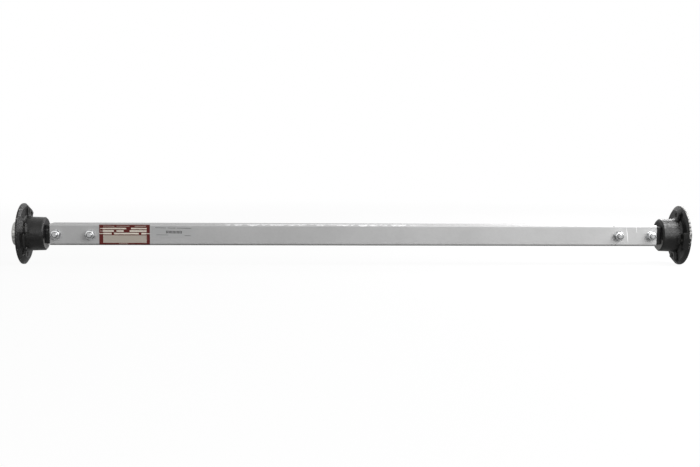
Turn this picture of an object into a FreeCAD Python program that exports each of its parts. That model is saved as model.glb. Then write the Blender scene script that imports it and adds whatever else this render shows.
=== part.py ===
import FreeCAD, Part
import math
import os

from FreeCAD import Vector

# Unbraked trailer axle: a galvanised square tube with a bolted-in stub axle and a
# four-stud hub on two taper roller bearings at each end. Millimetres.
# X runs along the axle, -Y is the side with the labels, +Z is up.
# The origin is the middle of the tube.

# Square tube
tube_length = 1440.0
tube_side = 50.0
tube_wall = 3.0
tube_corner_radius = 5.0

# Stub axle shank and its two cross bolts
shank_gap = 0.2                  # between the shank and the inside of the tube
shank_corner_radius = 3.0
shank_end_margin = 26.4          # steel past the inner bolt
shank_end_chamfer = 2.0
shank_showing = 11.5             # black shank between the tube and the hub
shoulder_gap = 1.0               # running gap between shank and hub
shoulder_corner_chamfer = 3.0    # turned off the corners of the square
bolt_from_tube_end = 14.2
bolt_spacing = 79.4

# Cross bolts, M12, with plain washers and nuts
bolt_radius = 6.0
bolt_hole_gap = 0.2
bolt_end_chamfer = 1.4
bolt_past_nut = 4.2
bolt_head_height = 7.5
bolt_across_flats = 19.0
nut_height = 10.8
thread_gap = 0.02
washer_radius = 12.0
washer_hole_gap = 0.5
washer_thickness = 2.5
hex_corner_cut = 0.93            # chamfer circle as a share of the flats
head_turns = (8.0, 41.0)         # how far each hexagon happened to be turned
nut_turns = (21.0, 49.0)

# Spindle
seal_land_radius = 19.0
seal_land_fillet = 1.5
bearing_seat_gap = 0.01
waist_relief = 1.0               # between the two bearing seats
waist_end = 1.5
thread_radius = 10.0
spindle_past_nut = 2.75
spindle_end_chamfer = 1.5
keyway_width = 5.0
keyway_depth = 2.5
centre_hole_radius = 3.0
centre_hole_depth = 5.0

# Taper roller bearings. Widths run from the back face of the cone.
inner_bearing = {
    "bore_radius": 15.0,
    "outer_radius": 31.0,
    "width": 17.25,
    "cone_width": 16.0,
    "cup_width": 14.0,
    "roller_centre": 8.6,
    "roller_half_length": 5.6,
}
outer_bearing = {
    "bore_radius": 12.5,
    "outer_radius": 26.0,
    "width": 16.25,
    "cone_width": 15.0,
    "cup_width": 13.0,
    "roller_centre": 8.1,
    "roller_half_length": 5.2,
}
roller_spacing = 1.0             # bar of the cage between two rollers, on the pitch circle
roller_axis_angle = 12.0
roller_share = 0.24              # roller radius as a share of the bearing's section
roller_gap = 0.04                # between a roller and its raceways
roller_end_gap = 0.08
cone_rib_height = 2.0
cone_small_rib_height = 1.0
cage_share = 0.1                 # cage outside the line of roller centres, as a share of the section
cage_thickness = 1.0
cage_clearance = 0.2
cage_start = 1.7
cage_end_inset = 0.8
cage_flange_gap = 0.5

# Oil seal
seal_inset = 0.2
seal_width = 7.0
seal_case_wall = 1.6
seal_lip_gap = 0.05
seal_to_bearing = 1.3

# Hub casting
barrel_wall = 7.8
barrel_draft = 0.03              # growth of radius for each unit of length
barrel_end_chamfer = 3.0
cup_land = 8.25                  # metal between the two bearing cups
cup_shoulder_height = 4.0
face_past_bearing = 4.85
stud_circle_radius = 50.0
stud_hole_radius = 5.2
stud_hole_chamfer = 0.8
stud_count = 4
pad_margin = 10.0                # flat metal outside the stud circle
pad_slope_run = 11.5
pad_height = 14.8                # pad face to wheel face
pad_half_angle = 19.0
pad_fillet = 6.0
pad_edge_fillet = 4.0
pad_overrun = 3.0                # drawn past the rim, so that the edges can be rounded
rim_thickness = 4.2
rim_edge_chamfer = 0.8
web_thickness = 9.1
web_bevel_run = 7.0
web_fillet = 5.0
spigot_wall = 3.8
spigot_length = 9.0
spigot_chamfer = 0.8
bore_mouth_chamfer = 0.5
left_hub_turn = 67.0             # first stud hole, from +Y towards +Z
right_hub_turn = 99.0

# Spindle washer, castle nut and split pin
spindle_washer_radius = 19.0
spindle_washer_thickness = 3.0
spindle_washer_gap = 0.2
castle_flats = 30.0
castle_hex_height = 8.0
castle_slot_depth = 5.0
castle_slot_width = 4.2
castle_crown_radius = 14.0
pin_radius = 1.75
pin_gap = 0.25
pin_leg_radius = 0.85
pin_eye_radius = 2.6
pin_leg_reach = 5.5

# Grease cap
cap_wall = 1.5
cap_skirt_length = 6.0
cap_shoulder = 2.0
cap_height = 11.0
cap_edge_radius = 3.5
cap_flute_count = 18
cap_flute_radius = 3.5
cap_flute_depth = 0.8
cap_flute_land = 2.2             # plain band next to the spigot

# Labels on the front of the tube
rating_label_from_end = 114.0
rating_label_length = 117.0
rating_label_margin = 1.6        # short of the full height of the tube
rating_label_thickness = 0.4
label_gap = 6.2                  # between the two labels
info_label_length = 102.0
info_label_height = 25.0
info_label_centre_height = 6.8
info_label_thickness = 0.2
info_label_tilt = 1.0

# Sizes that follow
tube_end = tube_length / 2
shank_half = tube_side / 2 - tube_wall - shank_gap
shank_inside = bolt_from_tube_end + bolt_spacing + shank_end_margin
ring_face = tube_end + shank_showing + shoulder_gap
inner_back = seal_inset + seal_width + seal_to_bearing
inner_cup_end = inner_back + inner_bearing["width"]
outer_cup_start = inner_cup_end + cup_land
outer_back = outer_cup_start + outer_bearing["width"]
wheel_face = outer_back + face_past_bearing
spigot_end = wheel_face + spigot_length
nut_seat = outer_back + spindle_washer_thickness
castle_slot_floor = nut_seat + castle_hex_height
castle_top = castle_slot_floor + castle_slot_depth
spindle_end = castle_top + spindle_past_nut
pin_height = castle_slot_floor + pin_radius + pin_gap
barrel_radius = inner_bearing["outer_radius"] + barrel_wall
spigot_radius = outer_bearing["outer_radius"] + spigot_wall
pad_radius = stud_circle_radius + pad_margin
rim_radius = pad_radius + pad_slope_run
bolt_hole_radius = bolt_radius + bolt_hole_gap
centre = Vector(0, 0, 0)
along = Vector(1, 0, 0)
tiny = 1e-6


# Shape helpers


def rounded_wire(corners):
    # A closed wire in the XY plane; each corner is x, y and its rounding radius
    count = len(corners)
    turns = []
    for i in range(count):
        x, y, radius = corners[i]
        here = Vector(x, y, 0)
        back = Vector(corners[i - 1][0], corners[i - 1][1], 0) - here
        on = Vector(corners[(i + 1) % count][0], corners[(i + 1) % count][1], 0) - here
        if radius < tiny:
            turns.append((here, None, here))
            continue
        back.normalize()
        on.normalize()
        half = back.getAngle(on) / 2
        reach = radius / math.tan(half)
        towards = back + on
        towards.normalize()
        middle = here + towards * (radius / math.sin(half) - radius)
        turns.append((here + back * reach, middle, here + on * reach))
    edges = []
    for i in range(count):
        start, middle, end = turns[i]
        following = turns[(i + 1) % count][0]
        if middle is not None:
            edges.append(Part.Arc(start, middle, end).toShape())
        if (following - end).Length > tiny:
            edges.append(Part.LineSegment(end, following).toShape())
    return Part.Wire(edges)


def turned(corners, angle=360.0):
    # A profile of (distance along X, radius, rounding) spun about the X axis
    full = [corner if len(corner) == 3 else (corner[0], corner[1], 0.0) for corner in corners]
    return Part.Face(rounded_wire(full)).revolve(centre, along, angle)


def square_bar(half, corner_radius, x_from, x_to):
    # A solid bar of square section lying along X
    signs = ((-1, -1), (1, -1), (1, 1), (-1, 1))
    face = Part.Face(rounded_wire([(a * half, b * half, corner_radius) for a, b in signs]))
    face.rotate(centre, Vector(1, 1, 1), 120)
    face.translate(Vector(x_from, 0, 0))
    return face.extrude(Vector(x_to - x_from, 0, 0))


def hexagon(flats, height, cut_far_end, cut_near_end):
    # A hexagonal prism standing on the XY plane with turned chamfers
    corner = flats / math.sqrt(3)
    points = [Vector(corner * math.cos(math.radians(60 * i)), corner * math.sin(math.radians(60 * i)), 0)
              for i in range(7)]
    prism = Part.Face(Part.makePolygon(points)).extrude(Vector(0, 0, height))
    drop = (corner - flats / 2 * hex_corner_cut) / math.sqrt(3)
    low = flats / 2 * hex_corner_cut
    blank = Part.makeCylinder(corner, height - drop * (cut_far_end + cut_near_end),
                              Vector(0, 0, drop * cut_near_end))
    if cut_near_end:
        blank = blank.fuse(Part.makeCone(low, corner, drop))
    if cut_far_end:
        blank = blank.fuse(Part.makeCone(corner, low, drop, Vector(0, 0, height - drop)))
    return prism.common(blank)


def stand(shape, base, direction, turn=0.0):
    # Carries a shape from the Z axis to a base point and a direction
    placed = shape.copy()
    placed.rotate(centre, Vector(0, 0, 1), turn)
    spin = FreeCAD.Rotation(Vector(0, 0, 1), direction)
    placed.Placement = FreeCAD.Placement(base, spin).multiply(placed.Placement)
    return placed


def ring_of(shape, count, first=0.0):
    # Copies of a shape spaced round the X axis
    copies = []
    for i in range(count):
        copy = shape.copy()
        copy.rotate(centre, along, first + 360.0 * i / count)
        copies.append(copy)
    return copies


def shifted(shape, distance):
    moved = shape.copy()
    moved.translate(Vector(distance, 0, 0))
    return moved


def facing_in(shape, distance):
    # Turns a bearing piece round, with its back face at the given distance
    return shifted(shape.mirror(centre, along), distance)


# Tube


def bolt_places():
    return (tube_end - bolt_from_tube_end, tube_end - bolt_from_tube_end - bolt_spacing)


def bolt_holes(reach):
    return [Part.makeCylinder(bolt_hole_radius, 2 * reach, Vector(x, -reach, 0), Vector(0, 1, 0))
            for x in bolt_places()]


def axle_tube():
    tube = square_bar(tube_side / 2, tube_corner_radius, -tube_end, tube_end)
    hollow = square_bar(tube_side / 2 - tube_wall, tube_corner_radius - tube_wall, -tube_end, tube_end)
    holes = bolt_holes(tube_side)
    mirrored = [hole.mirror(centre, along) for hole in holes]
    return tube.cut([hollow] + holes + mirrored)


def rating_label():
    # Wraps a little way round the upper and lower corners of the tube
    start = -tube_end + rating_label_from_end
    end = start + rating_label_length
    skin = square_bar(tube_side / 2 + rating_label_thickness, tube_corner_radius + rating_label_thickness,
                      start, end)
    core = square_bar(tube_side / 2, tube_corner_radius, start, end)
    height = tube_side - 2 * rating_label_margin
    window = Part.makeBox(rating_label_length, tube_side, height,
                          Vector(start, -tube_side, -height / 2))
    return skin.cut(core).common(window)


def info_label():
    start = -tube_end + rating_label_from_end + rating_label_length + label_gap
    low = info_label_centre_height - info_label_height / 2
    front = -tube_side / 2 - info_label_thickness
    label = Part.makeBox(info_label_length, info_label_thickness, info_label_height,
                         Vector(start, front, low))
    middle = Vector(start + info_label_length / 2, 0, info_label_centre_height)
    label.rotate(middle, Vector(0, 1, 0), info_label_tilt)
    return label


# Stub axle and its bolts, drawn for the right-hand end


def stub_axle():
    shank_end = tube_end + shank_showing
    shank = square_bar(shank_half, shank_corner_radius, tube_end - shank_inside, shank_end)
    diagonal = shank_half * math.sqrt(2)
    near = tube_end - shank_inside
    shank = shank.common(turned([
        (near, 0),
        (near, diagonal - shank_end_chamfer - shank_corner_radius),
        (near + shank_end_chamfer, diagonal),
        (shank_end - shoulder_corner_chamfer, diagonal),
        (shank_end, diagonal - shoulder_corner_chamfer - shank_corner_radius / 2),
        (shank_end, 0),
    ]))
    seat_inner = inner_bearing["bore_radius"] - bearing_seat_gap
    seat_outer = outer_bearing["bore_radius"] - bearing_seat_gap
    land_top = seal_land_radius + seal_land_fillet
    spindle = turned([
        (-2 * shank_showing, 0),
        (-2 * shank_showing, land_top),
        (-shoulder_gap, land_top),
        (-shoulder_gap, seal_land_radius, seal_land_fillet),
        (inner_back, seal_land_radius),
        (inner_back, seat_inner),
        (inner_cup_end - waist_end, seat_inner),
        (inner_cup_end, seat_inner - waist_relief),
        (outer_cup_start, seat_outer),
        (outer_back - bearing_seat_gap, seat_outer),
        (outer_back - bearing_seat_gap, thread_radius),
        (spindle_end - spindle_end_chamfer, thread_radius),
        (spindle_end, thread_radius - spindle_end_chamfer),
        (spindle_end, 0),
    ])
    keyway = Part.makeBox(spindle_end - outer_back + bearing_seat_gap, keyway_width, keyway_depth,
                          Vector(outer_back - bearing_seat_gap, -keyway_width / 2, thread_radius - keyway_depth))
    drilled = Part.makeCone(0, centre_hole_radius, centre_hole_depth,
                            Vector(spindle_end - centre_hole_depth, 0, 0), along)
    pin_hole = Part.makeCylinder(pin_radius + pin_gap, 2 * tube_side,
                                 Vector(pin_height, -tube_side, 0), Vector(0, 1, 0))
    spindle = shifted(spindle.cut([keyway, drilled, pin_hole]), ring_face)
    return shank.fuse(spindle).removeSplitter().cut(bolt_holes(tube_side))


def cross_bolt():
    # Head below the XY plane, thread running up Z
    grip = tube_side + 2 * washer_thickness + nut_height
    length = grip + bolt_past_nut
    head = hexagon(bolt_across_flats, bolt_head_height, True, False)
    head = stand(head, centre, Vector(0, 0, -1))
    rod = Part.makeCylinder(bolt_radius, length - bolt_end_chamfer)
    tip = Part.makeCone(bolt_radius, bolt_radius - bolt_end_chamfer, bolt_end_chamfer,
                        Vector(0, 0, length - bolt_end_chamfer))
    return head.fuse([rod, tip]).removeSplitter()


def stub_bolts():
    back = tube_side / 2 + washer_thickness
    return Part.makeCompound([stand(cross_bolt(), Vector(x, back, 0), Vector(0, -1, 0), turn)
                              for x, turn in zip(bolt_places(), head_turns)])


def bolt_nuts():
    front = -tube_side / 2 - washer_thickness
    bore = Part.makeCylinder(bolt_radius + thread_gap, nut_height)
    nut = hexagon(bolt_across_flats, nut_height, True, True).cut(bore)
    return Part.makeCompound([stand(nut, Vector(x, front, 0), Vector(0, -1, 0), turn)
                              for x, turn in zip(bolt_places(), nut_turns)])


def bolt_washers():
    disc = Part.makeCylinder(washer_radius, washer_thickness)
    disc = disc.cut(Part.makeCylinder(bolt_radius + washer_hole_gap, washer_thickness))
    washers = []
    for x in bolt_places():
        washers.append(stand(disc, Vector(x, -tube_side / 2, 0), Vector(0, -1, 0)))
        washers.append(stand(disc, Vector(x, tube_side / 2, 0), Vector(0, 1, 0)))
    return Part.makeCompound(washers)


# Taper roller bearing, with the cone's back face at zero and the apex at +X


class Bearing:
    def __init__(self, sizes):
        self.sizes = sizes
        self.axis = math.radians(roller_axis_angle)
        self.pitch_radius = (sizes["bore_radius"] + sizes["outer_radius"]) / 2
        self.apex = sizes["roller_centre"] + self.pitch_radius / math.tan(self.axis)
        self.slant = self.pitch_radius / math.sin(self.axis)
        section = sizes["outer_radius"] - sizes["bore_radius"]
        roller_radius = roller_share * section
        self.cage_offset = cage_share * section
        self.half = math.atan(roller_radius / self.slant)
        self.count = int(2 * math.pi * self.pitch_radius / (2 * roller_radius + roller_spacing))

    def line(self, x, angle):
        # Radius at x of a cone through the apex
        return (self.apex - x) * math.tan(angle)

    def roller_end(self, side):
        # Centre and radius of a roller's end face; side is -1 at the large end
        reach = side * self.sizes["roller_half_length"]
        x = self.sizes["roller_centre"] + reach * math.cos(self.axis)
        radius = self.pitch_radius - reach * math.sin(self.axis)
        return x, radius, (self.slant - reach) * math.tan(self.half)

    def cup(self):
        sizes = self.sizes
        start = sizes["width"] - sizes["cup_width"]
        angle = self.axis + self.half
        return turned([
            (start, self.line(start, angle)),
            (sizes["width"], self.line(sizes["width"], angle)),
            (sizes["width"], sizes["outer_radius"]),
            (start, sizes["outer_radius"]),
        ])

    def cone(self):
        sizes = self.sizes
        angle = self.axis - self.half
        lean = math.tan(self.axis)
        large_x, _, large_roller = self.roller_end(-1)
        small_x, _, small_roller = self.roller_end(1)
        rib = large_x - large_roller * math.sin(self.axis) - roller_end_gap
        small_rib = small_x - small_roller * math.sin(self.axis) + roller_end_gap
        rib_foot = self.line(rib, angle)
        small_foot = self.line(small_rib, angle)
        return turned([
            (0, sizes["bore_radius"]),
            (0, rib_foot + cone_rib_height),
            (rib + cone_rib_height * lean, rib_foot + cone_rib_height),
            (rib, rib_foot),
            (small_rib, small_foot),
            (small_rib + cone_small_rib_height * lean, small_foot + cone_small_rib_height),
            (sizes["cone_width"], small_foot + cone_small_rib_height),
            (sizes["cone_width"], sizes["bore_radius"]),
        ])

    def rollers(self):
        large_x, large_radius, large_roller = self.roller_end(-1)
        small_roller = self.roller_end(1)[2]
        direction = Vector(math.cos(self.axis), -math.sin(self.axis), 0)
        roller = Part.makeCone(large_roller - roller_gap, small_roller - roller_gap,
                               2 * self.sizes["roller_half_length"],
                               Vector(large_x, large_radius, 0), direction)
        return Part.makeCompound(ring_of(roller, self.count))

    def cage(self):
        sizes = self.sizes
        lift = self.cage_offset / math.cos(self.axis)
        wall = cage_thickness / math.cos(self.axis)
        end = sizes["width"] - cage_end_inset
        start_radius = self.line(cage_start, self.axis) + lift
        end_radius = self.line(end, self.axis) + lift
        flange_radius = self.line(sizes["cone_width"], self.axis - self.half) \
            + cone_small_rib_height + cage_flange_gap
        flange = end - cage_thickness
        shell = turned([
            (cage_start, start_radius),
            (flange, self.line(flange, self.axis) + lift),
            (flange, flange_radius),
            (end, flange_radius),
            (end, end_radius + wall),
            (cage_start, start_radius + wall),
        ])
        roller = self.roller_end(-1)[2]
        width = 2 * (math.sqrt(roller ** 2 - self.cage_offset ** 2) + cage_clearance)
        length = 2 * (sizes["roller_half_length"] + cage_clearance)
        window = Part.makeBox(length, 2 * roller, width, Vector(-length / 2, 0, -width / 2))
        window.rotate(centre, Vector(0, 0, 1), -roller_axis_angle)
        window.translate(Vector(sizes["roller_centre"], self.pitch_radius, 0))
        return shell.cut(ring_of(window, self.count))


def bearing_nodes(name, sizes, place):
    bearing = Bearing(sizes)
    return {
        name + "_bearing_cup": place(bearing.cup()),
        name + "_bearing_cone": place(bearing.cone()),
        name + "_bearing_rollers": place(bearing.rollers()),
        name + "_bearing_cage": place(bearing.cage()),
    }


# Hub and what turns with it, measured from its inboard face


def barrel_at(x):
    return barrel_radius + barrel_draft * x


def hub_web():
    bore = inner_bearing["outer_radius"]
    outer_bore = outer_bearing["outer_radius"]
    shoulder = outer_bore - cup_shoulder_height
    web = wheel_face - web_thickness
    return turned([
        (0, bore + bore_mouth_chamfer),
        (0, barrel_radius - barrel_end_chamfer),
        (barrel_end_chamfer, barrel_at(barrel_end_chamfer)),
        (web, barrel_at(web), web_fillet),
        (web, rim_radius - web_bevel_run),
        (wheel_face - rim_thickness, rim_radius),
        (wheel_face - rim_edge_chamfer, rim_radius),
        (wheel_face, rim_radius - rim_edge_chamfer),
        (wheel_face, spigot_radius),
        (spigot_end - spigot_chamfer, spigot_radius),
        (spigot_end, spigot_radius - spigot_chamfer),
        (spigot_end, outer_bore),
        (outer_cup_start, outer_bore),
        (outer_cup_start, shoulder),
        (inner_cup_end, shoulder),
        (inner_cup_end, bore),
        (bore_mouth_chamfer, bore),
    ])


def hub_pad():
    # One stud pad, joined to the barrel, running down past the rim and then trimmed to it
    face = wheel_face - pad_height
    root = inner_bearing["outer_radius"] + barrel_wall / 2
    slope = pad_slope_run / (pad_height - rim_thickness)
    foot = wheel_face - rim_thickness + pad_overrun
    pad = turned([
        (face - 2 * pad_fillet, root),
        (face - 2 * pad_fillet, barrel_at(face - 2 * pad_fillet)),
        (face, barrel_at(face), pad_fillet),
        (face, pad_radius),
        (foot, rim_radius + pad_overrun * slope),
        (foot, root),
    ], 2 * pad_half_angle)
    pad.rotate(centre, along, -pad_half_angle)
    side = math.sin(math.radians(pad_half_angle))
    edges = []
    for edge in pad.Edges:
        middle = edge.valueAt((edge.FirstParameter + edge.LastParameter) / 2)
        radius = math.hypot(middle.y, middle.z)
        on_side = abs(middle.z) > radius * side - tiny
        if on_side and radius > barrel_at(face) and face - pad_fillet < middle.x < foot - tiny:
            edges.append(edge)
    return pad.makeFillet(pad_edge_fillet, edges).common(Part.makeCylinder(rim_radius, foot, centre, along))


def hub_casting(first_stud):
    casting = hub_web().fuse(ring_of(hub_pad(), stud_count))
    casting = casting.removeSplitter()
    start = wheel_face - pad_height - pad_fillet
    drill = Part.makeCylinder(stud_hole_radius, pad_height + pad_fillet,
                              Vector(start, stud_circle_radius, 0), along)
    mouth = Part.makeCone(stud_hole_radius, stud_hole_radius + stud_hole_chamfer, stud_hole_chamfer,
                          Vector(wheel_face - stud_hole_chamfer, stud_circle_radius, 0), along)
    casting = casting.cut(ring_of(drill.fuse(mouth), stud_count))
    casting.rotate(centre, along, first_stud)
    return casting


def oil_seal():
    bore = inner_bearing["outer_radius"]
    lip = seal_land_radius + seal_lip_gap
    back = seal_inset + seal_width
    front_wall = seal_inset + seal_case_wall
    return turned([
        (seal_inset, bore),
        (back, bore),
        (back, bore - seal_case_wall),
        (front_wall, bore - seal_case_wall),
        (front_wall, lip + 2 * seal_case_wall),
        (back - seal_case_wall, lip + seal_case_wall),
        (back - seal_case_wall, lip + seal_case_wall / 2),
        (back - 2 * seal_case_wall, lip),
        (seal_inset, lip + seal_case_wall),
    ])


def grease_cap():
    fit = outer_bearing["outer_radius"]
    body = fit + cap_shoulder
    end = spigot_end + cap_height
    start = spigot_end - cap_skirt_length
    shell = turned([
        (start, fit - cap_wall),
        (start, fit),
        (spigot_end, fit),
        (spigot_end, body),
        (end, body, cap_edge_radius),
        (end, 0),
        (end - cap_wall, 0),
        (end - cap_wall, body - cap_wall, cap_edge_radius - cap_wall),
        (spigot_end + cap_wall, body - cap_wall),
        (spigot_end + cap_wall, fit - cap_wall),
    ])
    flute = Part.makeCylinder(cap_flute_radius, cap_height,
                              Vector(spigot_end + cap_flute_land, body + cap_flute_radius - cap_flute_depth, 0),
                              along)
    return shell.cut(ring_of(flute, cap_flute_count))


# What holds the hub on the spindle


def spindle_washer():
    washer = turned([
        (outer_back, thread_radius + spindle_washer_gap),
        (outer_back, spindle_washer_radius),
        (nut_seat, spindle_washer_radius),
        (nut_seat, thread_radius + spindle_washer_gap),
    ])
    tab_width = keyway_width - 2 * spindle_washer_gap
    tab_foot = thread_radius - keyway_depth + spindle_washer_gap
    tab = Part.makeBox(spindle_washer_thickness, tab_width, thread_radius + 2 * spindle_washer_gap - tab_foot,
                       Vector(outer_back, -tab_width / 2, tab_foot))
    return washer.fuse(tab).removeSplitter()


def castle_nut():
    body = hexagon(castle_flats, castle_hex_height, False, True)
    crown = Part.makeCylinder(castle_crown_radius, castle_slot_depth, Vector(0, 0, castle_hex_height))
    bore = Part.makeCylinder(thread_radius + thread_gap, castle_hex_height + castle_slot_depth)
    slots = []
    for i in range(3):
        slot = Part.makeBox(4 * castle_crown_radius, castle_slot_width, castle_slot_depth,
                            Vector(-2 * castle_crown_radius, -castle_slot_width / 2, castle_hex_height))
        slot.rotate(centre, Vector(0, 0, 1), 60.0 * i)
        slots.append(slot)
    nut = body.fuse(crown).removeSplitter().cut([bore] + slots)
    # A slot lies along Y, where the pin passes
    return stand(nut, Vector(nut_seat, 0, 0), along, 90.0)


def split_pin():
    # Eye on the -Y side, two legs opened against the nut on the +Y side
    reach = castle_crown_radius + pin_leg_radius + pin_gap
    body = Part.makeCylinder(pin_radius, 2 * reach, Vector(pin_height, -reach, 0), Vector(0, 1, 0))
    eye = Part.makeTorus(pin_eye_radius, pin_leg_radius, Vector(pin_height, -reach - pin_eye_radius, 0), along)
    legs = []
    for side in (-1, 1):
        start = Vector(pin_height, reach, 0)
        tip = Vector(pin_height, reach + 2 * pin_leg_radius, side * pin_leg_reach)
        direction = tip - start
        legs.append(Part.makeCylinder(pin_leg_radius, direction.Length, start, direction))
    return body.fuse([eye] + legs).removeSplitter()


def main():
    os.makedirs("parts", exist_ok=True)
    end_nodes = {
        "stub_axle": stub_axle(),
        "stub_bolts": stub_bolts(),
        "bolt_nuts": bolt_nuts(),
        "bolt_washers": bolt_washers(),
    }
    hub_end = {
        "oil_seal": oil_seal(),
        "grease_cap": grease_cap(),
        "spindle_washer": spindle_washer(),
        "castle_nut": castle_nut(),
        "split_pin": split_pin(),
    }
    hub_end.update(bearing_nodes("inner", inner_bearing, lambda shape: shifted(shape, inner_back)))
    hub_end.update(bearing_nodes("outer", outer_bearing, lambda shape: facing_in(shape, outer_back)))
    for name, shape in hub_end.items():
        end_nodes[name] = shifted(shape, ring_face)
    nodes = {
        "axle_tube": axle_tube(),
        "rating_label": rating_label(),
        "info_label": info_label(),
        "right_hub": shifted(hub_casting(right_hub_turn), ring_face),
        "left_hub": shifted(hub_casting(left_hub_turn), ring_face).mirror(centre, along),
    }
    for name, shape in end_nodes.items():
        nodes["right_" + name] = shape
        nodes["left_" + name] = shape.mirror(centre, along)
    for name, shape in sorted(nodes.items()):
        shape.exportStep(os.path.join("parts", name + ".step"))
        box = shape.BoundBox
        print(f"{name:30s} solids {len(shape.Solids):3d}  volume {shape.Volume:12.1f}  valid {shape.isValid()}"
              f"  x {box.XMin:8.2f} {box.XMax:8.2f}  r {box.ZMax:6.2f}")


main()
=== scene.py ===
import math

import bmesh
import bpy
from mathutils import Matrix, Vector


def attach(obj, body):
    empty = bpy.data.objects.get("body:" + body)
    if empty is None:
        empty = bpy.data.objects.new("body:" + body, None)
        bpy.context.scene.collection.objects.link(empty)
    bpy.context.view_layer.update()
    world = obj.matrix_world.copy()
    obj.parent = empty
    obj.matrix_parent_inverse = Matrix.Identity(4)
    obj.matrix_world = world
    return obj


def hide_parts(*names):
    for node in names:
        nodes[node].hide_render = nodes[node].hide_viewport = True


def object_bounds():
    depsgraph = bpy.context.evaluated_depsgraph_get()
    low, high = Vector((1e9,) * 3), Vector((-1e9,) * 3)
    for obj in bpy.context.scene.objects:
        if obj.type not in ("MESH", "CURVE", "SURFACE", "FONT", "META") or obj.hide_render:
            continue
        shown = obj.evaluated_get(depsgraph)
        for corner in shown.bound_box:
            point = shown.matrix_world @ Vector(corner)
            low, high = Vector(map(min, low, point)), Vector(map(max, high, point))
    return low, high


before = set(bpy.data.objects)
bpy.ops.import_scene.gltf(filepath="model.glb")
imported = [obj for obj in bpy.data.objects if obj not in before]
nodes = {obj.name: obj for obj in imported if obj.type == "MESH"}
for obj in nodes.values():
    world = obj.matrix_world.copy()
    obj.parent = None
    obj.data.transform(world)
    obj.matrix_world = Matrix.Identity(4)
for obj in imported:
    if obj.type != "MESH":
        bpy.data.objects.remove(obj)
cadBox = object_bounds()
print("frame loaded with", len(nodes), "nodes")


# Camera and studio

view = {
    "place": (-0.14448, -2.30032, 0.19124),
    "yaw": 3.135,          # degrees to the right of straight ahead
    "pitch": -4.697,
    "roll": 0.400,
    "lens": 49.67,
    "sensor": 36.0,
    "farthest": 60.0,
}


def makeCamera():
    yaw, pitch, roll = (math.radians(view[k]) for k in ("yaw", "pitch", "roll"))
    ahead = Vector((math.sin(yaw) * math.cos(pitch), math.cos(yaw) * math.cos(pitch), math.sin(pitch)))
    side = Vector((math.cos(yaw), -math.sin(yaw), 0))
    up = side.cross(ahead)
    right = side * math.cos(roll) + up * math.sin(roll)
    over = up * math.cos(roll) - side * math.sin(roll)
    data = bpy.data.cameras.new("camera")
    data.lens = view["lens"]
    data.sensor_width = view["sensor"]
    data.sensor_fit = "HORIZONTAL"
    data.clip_end = view["farthest"]
    camera = bpy.data.objects.new("camera", data)
    turn = Matrix((right, over, -ahead)).transposed().to_4x4()
    camera.matrix_world = Matrix.Translation(view["place"]) @ turn
    bpy.context.scene.collection.objects.link(camera)
    bpy.context.scene.camera = camera


makeCamera()
bpy.context.scene.view_settings.view_transform = "Standard"

studio = {
    "fillLow": 0.04,       # the room's plain light from below and from above
    "fillHigh": 0.24,
    "fillRise": (-0.3, 0.6),    # the heights of view between which it grows
    "mirrorLow": 0.50,     # what gloss and glass see of it
    "mirrorHigh": 1.0,
    "lamps": {           # place, aim, size and power
        "keyLamp": ((1.7, -2.2, 1.1), (0.5, 0.0, 0.0), (2.2, 1.8), 60.0),
        "overLamp": ((1.20, -0.15, 0.85), (0.95, 0.0, 0.0), (0.5, 0.8), 16.0),
        "backLamp": ((1.25, 1.8, 1.2), (0.8, 0.0, 0.0), (0.8, 0.6), 17.0),
        "frontLamp": ((-0.9, -3.4, 0.9), (-0.4, 0.0, 0.0), (4.0, 2.2), 27.0),
    },
    "floorShade": 0.07,
    "floorPale": 0.95,     # the floor's own colour as the camera sees it
    "floorHalf": 9.0,
    "floorGlow": 0.94,     # how much of the floor's plain white the camera sees
    "glowFade": (1.3, 3.5),    # and how far out it starts to grow, and is whole
    "floorMirror": 0.40,   # and how much gloss and glass see
}


# Node helpers


def addNode(tree, kind, **settings):
    node = tree.nodes.new(kind)
    for key, value in settings.items():
        setattr(node, key, value)
    return node


def feed(tree, socket, value):
    if isinstance(value, bpy.types.NodeSocket):
        tree.links.new(value, socket)
    else:
        socket.default_value = value


def calc(tree, operation, first, second=None, clamp=False):
    node = addNode(tree, "ShaderNodeMath", operation=operation, use_clamp=clamp)
    feed(tree, node.inputs[0], first)
    if second is not None:
        feed(tree, node.inputs[1], second)
    return node.outputs[0]


def product(tree, first, *others):
    for value in others:
        first = calc(tree, "MULTIPLY", first, value)
    return first


def total(tree, first, *others):
    for value in others:
        first = calc(tree, "ADD", first, value)
    return first


def less(tree, first, second):
    return calc(tree, "SUBTRACT", first, second)


def ease(tree, value, low, high):
    # 0 below low, 1 above high, smooth between
    node = addNode(tree, "ShaderNodeMapRange", interpolation_type="SMOOTHSTEP")
    feed(tree, node.inputs["Value"], value)
    feed(tree, node.inputs["From Min"], low)
    feed(tree, node.inputs["From Max"], high)
    return node.outputs[0]


def remap(tree, value, low, high):
    # low where the value is 0, high where it is 1
    node = addNode(tree, "ShaderNodeMapRange")
    feed(tree, node.inputs["Value"], value)
    feed(tree, node.inputs["To Min"], low)
    feed(tree, node.inputs["To Max"], high)
    return node.outputs[0]


def blendColour(tree, factor, first, second):
    node = addNode(tree, "ShaderNodeMix", data_type="RGBA")
    feed(tree, node.inputs[0], factor)
    feed(tree, node.inputs[6], first)
    feed(tree, node.inputs[7], second)
    return node.outputs[2]


def colour(red, green, blue):
    return (red, green, blue, 1.0)


def splitVector(tree, vector):
    node = addNode(tree, "ShaderNodeSeparateXYZ")
    feed(tree, node.inputs[0], vector)
    return node.outputs


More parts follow.
